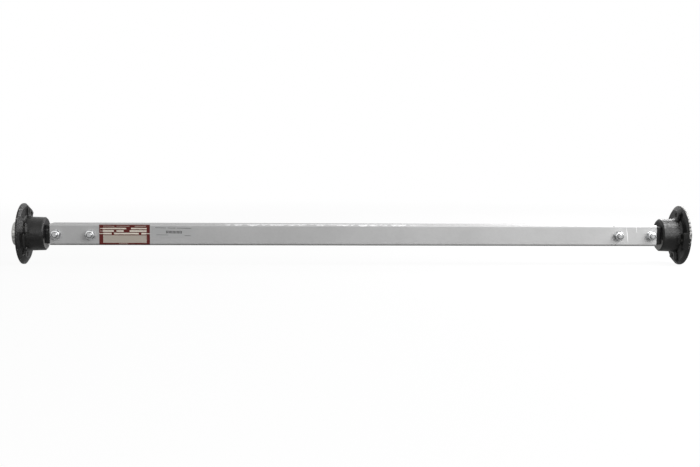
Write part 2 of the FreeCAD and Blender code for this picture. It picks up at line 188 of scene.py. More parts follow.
def addNoise(tree, vector, scale, detail):
    noise = addNode(tree, "ShaderNodeTexNoise")
    noise.inputs["Detail"].default_value = detail
    feed(tree, noise.inputs["Vector"], vector)
    feed(tree, noise.inputs["Scale"], scale)
    return noise


def newGroup(name, inputs, outputs):
    # inputs maps a name to Float or Vector; outputs are all Float
    tree = bpy.data.node_groups.new(name, "ShaderNodeTree")
    for label, kind in inputs.items():
        tree.interface.new_socket(name=label, in_out="INPUT", socket_type="NodeSocket" + kind)
    for label in outputs:
        tree.interface.new_socket(name=label, in_out="OUTPUT", socket_type="NodeSocketFloat")
    given = tree.nodes.new("NodeGroupInput").outputs
    return tree, given, tree.nodes.new("NodeGroupOutput").inputs


def useGroup(tree, group, **values):
    node = addNode(tree, "ShaderNodeGroup", node_tree=group)
    for key, value in values.items():
        feed(tree, node.inputs[key], value)
    return node.outputs


# Shared surface effects

grainShape = {
    "broadDetail": 3.0,
    "broadShare": 0.65,
    "fineDetail": 2.0,
    "fineShare": 0.35,
    "finer": 4.3,          # how many times finer the second noise is
}


def makeGrain():
    # Two sizes of noise, for the texture of a cast, dipped or plated surface
    own = grainShape
    tree, given, result = newGroup("grain", {"Vector": "Vector", "Scale": "Float"}, ["Shade", "Height"])
    finer = product(tree, given["Scale"], own["finer"])
    broad = addNoise(tree, given["Vector"], given["Scale"], own["broadDetail"]).outputs[0]
    fine = addNoise(tree, given["Vector"], finer, own["fineDetail"]).outputs[0]
    feed(tree, result["Shade"], broad)
    feed(tree, result["Height"], total(tree, product(tree, broad, own["broadShare"]),
                                       product(tree, fine, own["fineShare"])))
    return tree


patchShape = {
    "detail": 5.0,
    "roughness": 0.62,
}


def makePatches():
    # Scattered spots, such as chips, stains or worn places; a higher limit leaves fewer
    inputs = {"Vector": "Vector", "Scale": "Float", "Limit": "Float", "Softness": "Float"}
    tree, given, result = newGroup("patches", inputs, ["Mask"])
    noise = addNoise(tree, given["Vector"], given["Scale"], patchShape["detail"])
    noise.inputs["Roughness"].default_value = patchShape["roughness"]
    top = total(tree, given["Limit"], given["Softness"])
    feed(tree, result["Mask"], ease(tree, noise.outputs[0], given["Limit"], top))
    return tree


def makeSpangle():
    # Zinc crystals: each cell has a shade of its own
    tree, given, result = newGroup("spangle", {"Vector": "Vector", "Scale": "Float"}, ["Shade"])
    cells = addNode(tree, "ShaderNodeTexVoronoi")
    feed(tree, cells.inputs["Vector"], given["Vector"])
    feed(tree, cells.inputs["Scale"], given["Scale"])
    split = addNode(tree, "ShaderNodeSeparateColor")
    feed(tree, split.inputs[0], cells.outputs["Color"])
    feed(tree, result["Shade"], split.outputs[0])
    return tree


def makeRoundAxis():
    # Where a point lies on a thing turned about the long axis
    tree, given, result = newGroup("roundAxis", {"Vector": "Vector"}, ["Reach", "Radius", "Up"])
    x, y, z = splitVector(tree, given["Vector"])
    feed(tree, result["Reach"], calc(tree, "ABSOLUTE", x))
    squares = total(tree, calc(tree, "POWER", y, 2.0), calc(tree, "POWER", z, 2.0))
    feed(tree, result["Radius"], calc(tree, "SQRT", squares))
    feed(tree, result["Up"], z)
    return tree


def makeBand():
    # 1 between low and high, with soft ends
    inputs = {"Value": "Float", "Low": "Float", "High": "Float", "Softness": "Float"}
    tree, given, result = newGroup("band", inputs, ["Mask"])
    rise = ease(tree, given["Value"], given["Low"], total(tree, given["Low"], given["Softness"]))
    fall = ease(tree, given["Value"], less(tree, given["High"], given["Softness"]), given["High"])
    feed(tree, result["Mask"], product(tree, rise, less(tree, 1.0, fall)))
    return tree


grooveChange = 0.37        # how fast the grooves' depth changes from one to the next


def makeToolMarks():
    # Fine grooves across a value, unevenly deep, as a lathe or grinder leaves them
    tree, given, result = newGroup("toolMarks", {"Value": "Float", "Pitch": "Float"}, ["Height"])
    turns = calc(tree, "DIVIDE", given["Value"], given["Pitch"])
    wave = calc(tree, "SINE", product(tree, turns, 2 * math.pi))
    depth = addNode(tree, "ShaderNodeTexNoise", noise_dimensions="1D")
    feed(tree, depth.inputs["W"], turns)
    depth.inputs["Scale"].default_value = grooveChange
    groove = total(tree, product(tree, wave, 0.5), 0.5)
    feed(tree, result["Height"], product(tree, groove, depth.outputs[0]))
    return tree


grain = makeGrain()
patches = makePatches()
spangle = makeSpangle()
roundAxis = makeRoundAxis()
band = makeBand()
toolMarks = makeToolMarks()


def newMaterial(name, metallic=0.0, specular=0.5):
    material = bpy.data.materials.new(name)
    material.use_nodes = True
    tree = material.node_tree
    shader = tree.nodes["Principled BSDF"]
    shader.inputs["Metallic"].default_value = metallic
    shader.inputs["Specular IOR Level"].default_value = specular
    place = addNode(tree, "ShaderNodeTexCoord").outputs["Object"]
    return material, tree, shader, place


def addBump(tree, shader, height, distance):
    bump = addNode(tree, "ShaderNodeBump")
    bump.inputs["Distance"].default_value = distance
    feed(tree, bump.inputs["Height"], height)
    feed(tree, shader.inputs["Normal"], bump.outputs[0])


spotCore = 0.35            # full inside this share of the spot's squared reach


def spotMask(tree, x, z, spot):
    # A soft oval spot on the front: centre x, centre z, half length, half height
    centreX, centreZ, halfLength, halfHeight = spot
    across = calc(tree, "DIVIDE", less(tree, x, centreX), halfLength)
    upward = calc(tree, "DIVIDE", less(tree, z, centreZ), halfHeight)
    reach = total(tree, calc(tree, "POWER", across, 2.0), calc(tree, "POWER", upward, 2.0))
    return less(tree, 1.0, ease(tree, reach, spotCore, 1.0))


# Finishes

galvanising = {
    "base": colour(0.43, 0.43, 0.43),
    "light": colour(0.50, 0.50, 0.50),
    "bright": colour(0.84, 0.84, 0.84),
    "dark": colour(0.05, 0.05, 0.05),
    "metallic": 0.22,
    "cloudScale": 9.0,
    "cloudRange": (0.3, 0.7),
    "cloudShare": 0.5,
    "crystalScale": 190.0,
    "crystalShare": 0.28,
    "grainScale": 520.0,
    "grainShare": 0.3,
    "half": 0.025,                     # of the tube's width
    "cornerWidth": 0.005,
    # how strong the painted highlight on the upper corners is
    "cornerHighlight": 0.25,
    "upperHalf": (-0.005, 0.005),
    "shadeDepths": (0.0028, 0.0005),    # painted shade, above the lower face, from none to all
    # how dark the painted shade along the bottom is
    "shadeShare": 0.85,
    "frontDepths": (0.012, 0.022),     # towards the front, from none to all
    "runs": (-0.34, 0.16),             # where zinc gathered along the top front corner, painted near white as a highlight
    "runSoftness": 0.05,
    "runScale": 46.0,
    "runRagged": 0.016,
    "runEdge": (0.0300, 0.0318),
    "scuffs": [(0.6480, 0.002, 0.0013, 0.0225), (0.6725, 0.015, 0.0010, 0.009)],
    "scuffLean": 0.14,
    "scuffShare": 0.8,
    "bendScale": 60.0,
    "bendDepth": 0.005,
    "knocks": [(0.615, 0.0225, 0.0030, 0.0013), (0.611, -0.0222, 0.0020, 0.0014),
               (0.620, -0.0222, 0.0018, 0.0014)],
    "knockShare": 0.75,
    "rough": (0.40, 0.56),
    "crystalRough": 0.6,
    "grainRough": 0.4,
    "runPolish": 0.12,
    "grainHeight": 0.3,
    "crystalHeight": 0.12,
    "runHeight": 4.0,
    "bump": 0.00018,
}


def makeGalvanised():
    own = galvanising
    material, tree, shader, place = newMaterial("hotDipZinc", metallic=own["metallic"])
    x, y, z = splitVector(tree, place)
    clouds = useGroup(tree, grain, Vector=place, Scale=own["cloudScale"])["Shade"]
    crystals = useGroup(tree, spangle, Vector=place, Scale=own["crystalScale"])["Shade"]
    fine = useGroup(tree, grain, Vector=place, Scale=own["grainScale"])
    mottle = total(tree, product(tree, ease(tree, clouds, *own["cloudRange"]), own["cloudShare"]),
                   product(tree, crystals, own["crystalShare"]))
    mottle = calc(tree, "ADD", mottle, product(tree, fine["Shade"], own["grainShare"]), clamp=True)
    shade = blendColour(tree, mottle, own["base"], own["light"])

    # The upper corners are lightened, a painted highlight where the light falls; the lower face and the
    # strip above it are darkened, a painted shade
    nearest = calc(tree, "MINIMUM", calc(tree, "ABSOLUTE", y), calc(tree, "ABSOLUTE", z))
    corners = ease(tree, nearest, own["half"] - own["cornerWidth"], own["half"])
    above = ease(tree, z, *own["upperHalf"])
    shade = blendColour(tree, product(tree, corners, above, own["cornerHighlight"]), shade, own["bright"])
    below = ease(tree, product(tree, z, -1.0), *(own["half"] - depth for depth in own["shadeDepths"]))
    shade = blendColour(tree, product(tree, below, own["shadeShare"]), shade, own["dark"])

    # Gathered runs along the top front corner: real lumps, with a near-white painted highlight on them
    front = ease(tree, product(tree, y, -1.0), *own["frontDepths"])
    along = useGroup(tree, band, Value=x, Low=own["runs"][0], High=own["runs"][1],
                     Softness=own["runSoftness"])["Mask"]
    ragged = useGroup(tree, grain, Vector=place, Scale=own["runScale"])["Shade"]
    edge = total(tree, z, product(tree, ragged, own["runRagged"]))
    runs = product(tree, ease(tree, edge, *own["runEdge"]), product(tree, along, front))
    shade = blendColour(tree, runs, shade, own["bright"])

    # Scuffs that lean and bend, and knocks on the corners, at the right-hand end
    uneven = useGroup(tree, grain, Vector=place, Scale=own["bendScale"])["Shade"]
    bend = product(tree, less(tree, uneven, 0.5), own["bendDepth"])
    leaning = total(tree, x, bend, product(tree, z, own["scuffLean"]))
    for spot in own["scuffs"]:
        mask = product(tree, spotMask(tree, leaning, z, spot), front, own["scuffShare"])
        shade = blendColour(tree, mask, shade, own["bright"])
    for spot in own["knocks"]:
        mask = product(tree, spotMask(tree, x, z, spot), front, own["knockShare"])
        shade = blendColour(tree, mask, shade, own["dark"])
    feed(tree, shader.inputs["Base Color"], shade)
    rough = total(tree, product(tree, crystals, own["crystalRough"]),
                  product(tree, fine["Shade"], own["grainRough"]))
    rough = remap(tree, rough, *own["rough"])
    feed(tree, shader.inputs["Roughness"], less(tree, rough, product(tree, runs, own["runPolish"])))
    height = total(tree, product(tree, fine["Height"], own["grainHeight"]),
                   product(tree, crystals, own["crystalHeight"]),
                   product(tree, runs, ragged, own["runHeight"]))
    addBump(tree, shader, height, own["bump"])
    return material


hubPaint = {
    "base": colour(0.0050, 0.0049, 0.0048),
    "grey": colour(0.0150, 0.0147, 0.0143),
    "bare": colour(0.50, 0.495, 0.485),
    "machined": colour(0.42, 0.416, 0.405),
    "specular": 0.38,
    "castScale": 230.0,
    "swellScale": 95.0,                # uneven sand under the paint
    "swellHeight": 1.6,
    "mottleRange": (0.38, 0.64),
    "ringFace": (0.7326, 0.7330),
    "ringShadeAbove": (-0.014, -0.006),     # the ring face shows bare only under the shank; above it, painted shade keeps it black
    "wheelFace": 0.7873,
    "wheelFaceSoft": 0.0002,
    "machinedMetal": 0.4,
    "rimRadius": 0.0711,
    "rimWidth": 0.0012,
    "chipLitAlong": (0.0, 0.5),           # more chips towards the right-hand end, where the light falls: partly a painted highlight
    "chipLitUp": (-0.03, 0.02),           # and towards the top, also where the light falls
    "chipLimits": (0.60, 0.43),        # from the fewest to the most
    "chipScale": 230.0,
    "chipSoftness": 0.04,
    "chipShare": 0.85,
    "chipRough": 0.2,
    "chipDepth": 0.2,
    "rough": (0.26, 0.44),
    "pitch": 0.0006,
    "grooveHeight": 0.12,
    "bump": 0.0008,
}


def makeHubPaint():
    own = hubPaint
    material, tree, shader, place = newMaterial("satinBlackPaint", specular=own["specular"])
    shape = useGroup(tree, roundAxis, Vector=place)
    cast = useGroup(tree, grain, Vector=place, Scale=own["castScale"])
    swell = useGroup(tree, grain, Vector=place, Scale=own["swellScale"])["Shade"]
    mottle = total(tree, product(tree, swell, 0.5), product(tree, cast["Height"], 0.5))
    shade = blendColour(tree, ease(tree, mottle, *own["mottleRange"]), own["base"], own["grey"])

    # Faces turned after casting: the ring round the seal, and the one the wheel sits on
    inboard = less(tree, 1.0, ease(tree, shape["Reach"], *own["ringFace"]))
    # Painted shade: the upper part of the ring face keeps the black paint colour
    inboard = product(tree, inboard, less(tree, 1.0, ease(tree, shape["Up"], *own["ringShadeAbove"])))
    outboard = ease(tree, shape["Reach"], own["wheelFace"], own["wheelFace"] + own["wheelFaceSoft"])
    turned = calc(tree, "MAXIMUM", inboard, outboard)
    shade = blendColour(tree, turned, shade, own["machined"])

    # Paint knocked off the rim, gathered at the right-hand end and the top where the light falls: wear,
    # partly a painted highlight
    rim = ease(tree, shape["Radius"], own["rimRadius"] - own["rimWidth"], own["rimRadius"])
    x = splitVector(tree, place)[0]
    litBias = product(tree, ease(tree, x, *own["chipLitAlong"]), ease(tree, shape["Up"], *own["chipLitUp"]))
    chips = useGroup(tree, patches, Vector=place, Scale=own["chipScale"], Softness=own["chipSoftness"],
                     Limit=remap(tree, litBias, *own["chipLimits"]))["Mask"]
    chips = product(tree, chips, rim)
    shade = blendColour(tree, product(tree, chips, own["chipShare"]), shade, own["bare"])
    feed(tree, shader.inputs["Base Color"], shade)
    rough = remap(tree, cast["Shade"], *own["rough"])
    feed(tree, shader.inputs["Roughness"], total(tree, rough, product(tree, chips, own["chipRough"])))
    feed(tree, shader.inputs["Metallic"], product(tree, turned, own["machinedMetal"]))
    marks = useGroup(tree, toolMarks, Value=shape["Radius"], Pitch=own["pitch"])["Height"]
    sand = total(tree, cast["Height"], product(tree, swell, own["swellHeight"]))
    height = total(tree, product(tree, sand, less(tree, 1.0, turned)),
                   product(tree, marks, turned, own["grooveHeight"]))
    addBump(tree, shader, less(tree, height, product(tree, chips, own["chipDepth"])), own["bump"])
    return material


stubFinish = {
    "black": colour(0.004, 0.004, 0.004),
    "scratch": colour(0.26, 0.26, 0.26),
    "steel": colour(0.46, 0.46, 0.465),
    "specular": 0.25,
    "scale": 340.0,
    "scaleHeight": 0.6,
    "shoulder": 0.7325,                # bare turned steel from here outwards
    "shoulderSoft": 0.0003,
    "scratches": [(-0.7258, 0.0118, 0.0058, 0.0005), (-0.7262, 0.0085, 0.0040, 0.0004),
                  (-0.7250, 0.0052, 0.0050, 0.0005), (-0.7268, 0.0020, 0.0036, 0.0003)],
    "scratchShare": 0.9,
    "breakScale": 420.0,               # gaps in the scratches
    "breakLimit": 0.44,
    "breakSoftness": 0.1,
    "rough": (0.32, 0.50),
    "barePolish": 0.16,
    "pitch": 0.0005,
    "grooveHeight": 0.4,
    "bump": 0.00012,
}


def makeStubFinish():
    own = stubFinish
    material, tree, shader, place = newMaterial("blackedSteel", specular=own["specular"])
    shape = useGroup(tree, roundAxis, Vector=place)
    cast = useGroup(tree, grain, Vector=place, Scale=own["scale"])
    bare = ease(tree, shape["Reach"], own["shoulder"], own["shoulder"] + own["shoulderSoft"])
    shade = blendColour(tree, bare, own["black"], own["steel"])
    x = splitVector(tree, place)[0]
    broken = useGroup(tree, patches, Vector=place, Scale=own["breakScale"], Limit=own["breakLimit"],
                      Softness=own["breakSoftness"])["Mask"]
    for spot in own["scratches"]:
        mask = product(tree, spotMask(tree, x, shape["Up"], spot), broken, own["scratchShare"])
        shade = blendColour(tree, mask, shade, own["scratch"])
    feed(tree, shader.inputs["Base Color"], shade)
    feed(tree, shader.inputs["Metallic"], bare)
    rough = remap(tree, cast["Shade"], *own["rough"])
    feed(tree, shader.inputs["Roughness"], less(tree, rough, product(tree, bare, own["barePolish"])))
    marks = useGroup(tree, toolMarks, Value=shape["Reach"], Pitch=own["pitch"])["Height"]
    height = total(tree, product(tree, cast["Height"], own["scaleHeight"]),
                   product(tree, marks, bare, own["grooveHeight"]))
    addBump(tree, shader, height, own["bump"])
    return material


plating = {
    "metallic": 0.85,
    "stainSize": 0.22,                 # the stains' scale as a share of the grain's
    "stainLimit": 0.50,
    "stainSoftness": 0.22,
    "stainShare": 0.7,
    "stainRough": 0.1,
}


def makePlating(name, own):
    material, tree, shader, place = newMaterial(name, metallic=plating["metallic"])
    fine = useGroup(tree, grain, Vector=place, Scale=own["scale"])
    stains = useGroup(tree, patches, Vector=place, Scale=own["scale"] * plating["stainSize"],
                      Limit=plating["stainLimit"], Softness=plating["stainSoftness"])["Mask"]
    stained = product(tree, stains, plating["stainShare"])
    feed(tree, shader.inputs["Base Color"], blendColour(tree, stained, own["clean"], own["dull"]))
    rough = remap(tree, fine["Shade"], *own["rough"])
    feed(tree, shader.inputs["Roughness"],
         total(tree, rough, product(tree, stains, plating["stainRough"])))
    addBump(tree, shader, fine["Height"], own["bump"])
    return material


zincFinish = {
    "clean": colour(0.56, 0.565, 0.57),
    "dull": colour(0.26, 0.26, 0.26),
    "scale": 620.0,
    "rough": (0.16, 0.30),
    "bump": 0.00003,
}

fastenerShade = {
    "places": (0.7058, 0.6264),        # of the cross bolts, out from the middle of the axle
    "shadeColour": colour(0.035, 0.034, 0.032),
    "bolt": (0.0050, 0.0058, 0.9),     # from and to, out from the bolt's middle, and how dark the painted shade is
    "nut": (0.0056, 0.0076, 0.85),
    "washer": (0.0080, 0.0107, 0.9),
    "softness": 0.0004,
    "raggedScale": 700.0,
    "raggedLimit": 0.30,
    "raggedSoftness": 0.25,
    "metallic": (0.9, 0.1),            # outside the painted shade, inside it
}


def makeFastenerZinc(kind):
    # Bright plating with painted shade: a dark, dull ring about each cross bolt where the thread, the
    # nut's mouth and the washer under the nut lie in shadow
    own = fastenerShade
    low, high, share = own[kind]
    material = makePlating(kind + "Zinc", zincFinish)
    tree = material.node_tree
    shader = tree.nodes["Principled BSDF"]
    place = tree.nodes["Texture Coordinate"].outputs["Object"]
    x, _, z = splitVector(tree, place)
    reach = calc(tree, "ABSOLUTE", x)
    aside = calc(tree, "MINIMUM", *(calc(tree, "ABSOLUTE", less(tree, reach, at)) for at in own["places"]))
    squares = total(tree, calc(tree, "POWER", aside, 2.0), calc(tree, "POWER", z, 2.0))
    shadeRing = useGroup(tree, band, Value=calc(tree, "SQRT", squares), Low=low, High=high,
                    Softness=own["softness"])["Mask"]
    ragged = useGroup(tree, patches, Vector=place, Scale=own["raggedScale"], Limit=own["raggedLimit"],
                      Softness=own["raggedSoftness"])["Mask"]
    shadeRing = product(tree, shadeRing, ragged, share)
    clean = shader.inputs["Base Color"].links[0].from_socket
    feed(tree, shader.inputs["Base Color"], blendColour(tree, shadeRing, clean, own["shadeColour"]))
    feed(tree, shader.inputs["Metallic"], remap(tree, shadeRing, *own["metallic"]))
    return material


capFinish = {
    "clean": colour(0.47, 0.47, 0.455),
    "dull": colour(0.30, 0.30, 0.29),
    "scale": 260.0,
    "rough": (0.34, 0.48),
    "bump": 0.00008,
}

cageFinish = {
    "clean": colour(0.36, 0.35, 0.32),
    "dull": colour(0.22, 0.20, 0.17),
    "scale": 420.0,
    "rough": (0.32, 0.46),
    "bump": 0.00005,
}

# Near black: the oiled thread, darkened further as painted shade in the bolt holes
threadFinish = {
    "clean": colour(0.05, 0.048, 0.045),
    "dull": colour(0.015, 0.014, 0.013),
    "scale": 500.0,
    "rough": (0.3, 0.45),
    "bump": 0.00003,
}

bearingFinish = {
    "ground": colour(0.58, 0.585, 0.60),
    "oil": colour(0.36, 0.34, 0.28),
    "oilScale": 70.0,
    "oilLimit": 0.46,
    "oilSoftness": 0.2,
    "oilShare": 0.6,
    "oilPolish": 0.08,
    "pitch": 0.00035,
    "rough": (0.2, 0.3),
    "bump": 0.00002,
}


def makeGround():
    own = bearingFinish
    material, tree, shader, place = newMaterial("groundBearingSteel", metallic=1.0)
    shape = useGroup(tree, roundAxis, Vector=place)
    oiled = useGroup(tree, patches, Vector=place, Scale=own["oilScale"], Limit=own["oilLimit"],
                     Softness=own["oilSoftness"])["Mask"]
    feed(tree, shader.inputs["Base Color"],
         blendColour(tree, product(tree, oiled, own["oilShare"]), own["ground"], own["oil"]))
    marks = useGroup(tree, toolMarks, Value=shape["Radius"], Pitch=own["pitch"])["Height"]
    rough = remap(tree, marks, *own["rough"])
    feed(tree, shader.inputs["Roughness"], less(tree, rough, product(tree, oiled, own["oilPolish"])))
    addBump(tree, shader, marks, own["bump"])
    return material


sealFinish = {
    "rubber": colour(0.022, 0.021, 0.022),
    "case": colour(0.42, 0.416, 0.405),
    "caseRadius": 0.0225,
    "caseSoft": 0.0002,
    "caseMetal": 0.4,
    "casePolish": 0.25,
    # the case shows only under the shank; above it, painted shade keeps it rubber-dark
    "caseShadeAbove": (-0.014, -0.006),
    "scale": 700.0,
    "rough": (0.55, 0.68),
    "bump": 0.00008,
}


def makeSeal():
    own = sealFinish
    material, tree, shader, place = newMaterial("sealRubber")
    shape = useGroup(tree, roundAxis, Vector=place)
    fine = useGroup(tree, grain, Vector=place, Scale=own["scale"])
    case = ease(tree, shape["Radius"], own["caseRadius"], own["caseRadius"] + own["caseSoft"])
    # Painted shade: above the shank the metal case takes the rubber's dark colour
    case = product(tree, case, less(tree, 1.0, ease(tree, shape["Up"], *own["caseShadeAbove"])))
    feed(tree, shader.inputs["Base Color"], blendColour(tree, case, own["rubber"], own["case"]))
    feed(tree, shader.inputs["Metallic"], product(tree, case, own["caseMetal"]))
    rough = remap(tree, fine["Shade"], *own["rough"])
    feed(tree, shader.inputs["Roughness"], less(tree, rough, product(tree, case, own["casePolish"])))
    addBump(tree, shader, fine["Height"], own["bump"])
    return material


filmSurface = {
    "specular": 0.25,
    "speckleScale": 300.0,
    "speckleShare": 0.25,
    "rubScale": 95.0,
    "rubLimit": 0.5,
    "rubSoftness": 0.2,
    "rubShare": 0.45,
    "bump": 0.00004,
}

filmColours = {            # clean, rubbed, and the range of roughness
    "redFilm": (colour(0.098, 0.0085, 0.0060), colour(0.145, 0.021, 0.016), (0.34, 0.46)),
    "creamFilm": (colour(0.86, 0.81, 0.70), colour(0.70, 0.66, 0.57), (0.38, 0.5)),
    "tanFilm": (colour(0.50, 0.445, 0.385), colour(0.56, 0.51, 0.45), (0.38, 0.5)),
    "paleFilm": (colour(0.50, 0.503, 0.505), colour(0.50, 0.50, 0.495), (0.42, 0.56)),
    "greyInk": (colour(0.085, 0.085, 0.085), colour(0.16, 0.16, 0.16), (0.5, 0.6)),
}


def makeFilm(name):
    # Printed film: a little speckle, and rubbed patches
    own = filmSurface
    clean, worn, rough = filmColours[name]
    material, tree, shader, place = newMaterial(name, specular=own["specular"])
    fine = useGroup(tree, grain, Vector=place, Scale=own["speckleScale"])
    rubbed = useGroup(tree, patches, Vector=place, Scale=own["rubScale"], Limit=own["rubLimit"],
                      Softness=own["rubSoftness"])["Mask"]
    wear = total(tree, product(tree, rubbed, own["rubShare"]),
                 product(tree, fine["Shade"], own["speckleShare"]))
    feed(tree, shader.inputs["Base Color"], blendColour(tree, wear, clean, worn))
    feed(tree, shader.inputs["Roughness"], remap(tree, fine["Shade"], *rough))
    addBump(tree, shader, fine["Height"], own["bump"])
    return material


hotDipZinc = makeGalvanised()
satinBlackPaint = makeHubPaint()
blackedSteel = makeStubFinish()
brightZinc = makePlating("brightZinc", zincFinish)
boltZinc, nutZinc, washerZinc = (makeFastenerZinc(kind) for kind in ("bolt", "nut", "washer"))
pressedCap = makePlating("pressedCap", capFinish)
pressedCage = makePlating("pressedCage", cageFinish)
oiledThreadInShade = makePlating("oiledThreadInShade", threadFinish)
groundSteel = makeGround()
sealRubber = makeSeal()
redFilm, creamFilm, tanFilm, paleFilm, greyInk = (makeFilm(name) for name in filmColours)
print("finishes made:", len(bpy.data.materials))

finishOf = {
    "axle_tube": hotDipZinc,
    "rating_label": redFilm,
    "info_label": paleFilm,
    "hub": satinBlackPaint,
    "stub_axle": blackedSteel,
    "stub_bolts": boltZinc,
    "bolt_nuts": nutZinc,
    "bolt_washers": washerZinc,
    "oil_seal": sealRubber,
    "grease_cap": pressedCap,
    "spindle_washer": groundSteel,
    "castle_nut": brightZinc,
    "split_pin": brightZinc,
    "bearing_cup": groundSteel,
    "bearing_cone": groundSteel,
    "bearing_rollers": groundSteel,
    "bearing_cage": pressedCage,
}


def dressNodes():
    for name, node in nodes.items():
        plain = name
        for word in ("left_", "right_", "inner_", "outer_"):
            plain = plain.removeprefix(word)
        for slot in node.material_slots:
            slot.material = finishOf[plain]
        if not node.material_slots:
            node.data.materials.append(finishOf[plain])


dressNodes()
print("nodes dressed")


# Mesh helpers

sharpAngle = 32.0          # degrees between faces, beyond which an edge stays sharp
weldWithin = 1e-7


def newPiece(name, bm, material, body):
    bmesh.ops.remove_doubles(bm, verts=bm.verts, dist=weldWithin)
    bmesh.ops.recalc_face_normals(bm, faces=bm.faces)
    mesh = bpy.data.meshes.new(name)
    bm.to_mesh(mesh)
    bm.free()
    for face in mesh.polygons:
        face.use_smooth = True
    mesh.set_sharp_from_angle(angle=math.radians(sharpAngle))
    mesh.materials.append(material)
    piece = bpy.data.objects.new(name, mesh)
    bpy.context.scene.collection.objects.link(piece)
    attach(piece, body)
    return piece


def growLoop(bm, edges, place):
    # Extrudes a loop of edges and moves each new point to place(angle)
    made = bmesh.ops.extrude_edge_only(bm, edges=edges)["geom"]
    points = {item for item in made if isinstance(item, bmesh.types.BMVert)}
    for point in points:
        point.co = place(math.atan2(point.co.y, point.co.x))
    return [item for item in made
            if isinstance(item, bmesh.types.BMEdge) and points.issuperset(item.verts)]


def ringAt(radius, height):
    return lambda angle: Vector((radius * math.cos(angle), radius * math.sin(angle), height))


def hexAt(flats, height, slope=0.0, flatRadius=0.0):
    # A point on a hexagon's side; slope drops it towards the corners
    def place(angle):
        within = (angle + math.pi / 6) % (math.pi / 3) - math.pi / 6
        radius = flats / 2 / math.cos(math.pi / 6 - abs(within))
        drop = max(0.0, radius - flatRadius) * slope
        return Vector((radius * math.cos(angle), radius * math.sin(angle), height - drop))
    return place


def startLoop(bm, segments, place):
    made = bmesh.ops.create_circle(bm, cap_ends=False, radius=1.0, segments=segments)
    for point in made["verts"]:
        point.co = place(math.atan2(point.co.y, point.co.x))
    # Each edge once, always in the same order
    return list(dict.fromkeys(edge for point in made["verts"] for edge in point.link_edges))


threadShape = {
    "segments": 28,
    "crest": (0.42, 0.58),             # where the flat crest lies, as shares of the pitch
    "tuck": 0.97,                      # the ends are drawn in under the root
}


def addThread(bm, start, length, pitch, crest, root, tip=0.0):
    # A helical thread about Z from start; tip is the chamfer at its far end
    turns = math.ceil(length / pitch) + 1
    below = start - pitch
    segments = threadShape["segments"]
    rise, fall = (below + pitch * share for share in threadShape["crest"])
    corners = [(root, below), (crest, rise), (crest, fall), (root, below + pitch)]
    points = [bm.verts.new((radius, 0, height)) for radius, height in corners]
    edges = [bm.edges.new(pair) for pair in zip(points, points[1:])]
    steps = turns * segments
    bmesh.ops.spin(bm, geom=points + edges, cent=(0, 0, 0), axis=(0, 0, 1),
                   dvec=(0, 0, pitch / segments), angle=2 * math.pi * turns, steps=steps, use_merge=False)
    bmesh.ops.remove_doubles(bm, verts=bm.verts, dist=weldWithin)
    end = start + length
    for point in bm.verts:
        radius = math.hypot(point.co.x, point.co.y)
        limit = min(crest, crest - tip + (end - point.co.z)) if tip else crest
        if point.co.z > end or point.co.z < start:
            limit = min(limit, root * threadShape["tuck"])
        if radius > limit > 0:
            point.co.x *= limit / radius
            point.co.y *= limit / radius
        point.co.z = min(max(point.co.z, start), end)


def placed(bm, base, direction, turn=0.0):
    # Carries a shape from the Z axis to a base point and a direction
    aim = Vector((0, 0, 1)).rotation_difference(Vector(direction)).to_matrix().to_4x4()
    matrix = Matrix.Translation(base) @ aim @ Matrix.Rotation(math.radians(turn), 4, "Z")
    bmesh.ops.transform(bm, verts=bm.verts, matrix=matrix)


def joinInto(target, source):
    mesh = bpy.data.meshes.new("part")
    source.to_mesh(mesh)
    source.free()
    target.from_mesh(mesh)
    bpy.data.meshes.remove(mesh)


# Cross bolts and their nuts

hexShape = {
    "segments": 48,
    "chamferFrom": 0.93,               # where the chamfer starts, as a share of half the flats
    "chamferSlope": 1 / math.sqrt(3),
}

crossBolt = {
    "places": fastenerShade["places"],
    "headTurns": (8.0, 41.0),
    "radius": 0.006,
    "flats": 0.019,
    "headHeight": 0.0075,
    "dish": (0.55, 0.62),              # the hollow on the head, as shares of the chamfer's start
    "dishDepth": 0.0003,
    "collar": 0.97,                    # the round bearing face, as a share of half the flats
    "collarHeight": 0.0005,
    "fillet": 0.0005,
    "back": 0.0275,                    # under the head
    "length": 0.070,
    "threadFrom": 0.0648,
    "runOut": 0.001,
    "pitch": 0.00175,
    "root": 0.00500,
    "tip": 0.0012,
    "endBevel": 0.0006,
    "threadLead": 0.0004,              # the ridge starts this much before threadFrom
    "threadMore": 0.0002,              # and is this much longer than from there to the end
    "crestUnder": 0.00005,
    "rootUnder": 0.0001,
}


